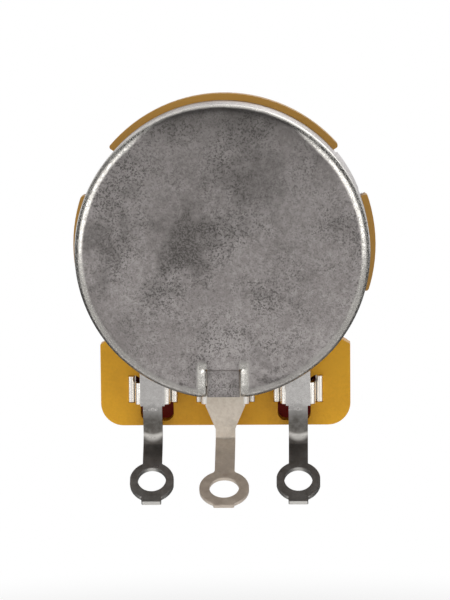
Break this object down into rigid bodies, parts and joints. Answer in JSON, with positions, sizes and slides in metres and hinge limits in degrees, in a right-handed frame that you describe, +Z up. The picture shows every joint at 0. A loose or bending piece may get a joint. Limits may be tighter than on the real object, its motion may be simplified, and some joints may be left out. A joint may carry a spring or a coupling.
{
  "type": "rotary potentiometer",
  "caption": "Panel rotary control with a drawn metal cover, ochre laminate board, solder lugs, threaded bushing and a split splined shaft.",
  "frame": {"origin": "on the shaft axis at the mounting face, where the bushing leaves the panel side of the plate", "axes": "+Y along the shaft towards its splined end, +Z up and away from the solder lugs, +X to the right as seen from behind the cover"},
  "size_m": [0.0246, 0.0308, 0.033],
  "materials": {
    "tinned_cover": "tinned drawn steel, mottled, lightly scuffed",
    "laminate": "ochre paper laminate, satin",
    "carbon_ink": "printed carbon, matte",
    "silver_ink": "printed silver, satin",
    "tinned_lug": "dull tinned strip",
    "nickel_lug": "warm nickel plating, satin",
    "red_fibre": "dark red vulcanised fibre",
    "zinc_plate": "zinc plated steel",
    "plated_brass": "nickel plated brass, turned",
    "shaft_brass": "nickel plated brass, rolled splines",
    "spring_steel": "dark spring steel",
    "moulded_rotor": "moulded thermoset",
    "contact_spring": "spring bronze"
  },
  "bodies": {
    "housing": {"rear_cover": "tinned_cover", "element_board": "laminate", "resistive_track": "carbon_ink", "end_pad_left": "silver_ink", "end_pad_right": "silver_ink", "collector_ring": "silver_ink", "terminal_left": "tinned_lug", "terminal_centre": "nickel_lug", "terminal_right": "tinned_lug", "terminal_insulator": "red_fibre", "mounting_plate": "zinc_plate", "bushing": "plated_brass"},
    "turning_shaft": {"shaft": "shaft_brass", "retaining_ring": "spring_steel", "rotor": "moulded_rotor", "wiper": "contact_spring"}
  },
  "joints": [
    {"name": "shaft_turn", "type": "hinge", "parent": "housing", "child": "turning_shaft", "pos_m": [0, 0, 0], "axis": [0, 1, 0], "range_deg": [-150, 150]}
  ]
}
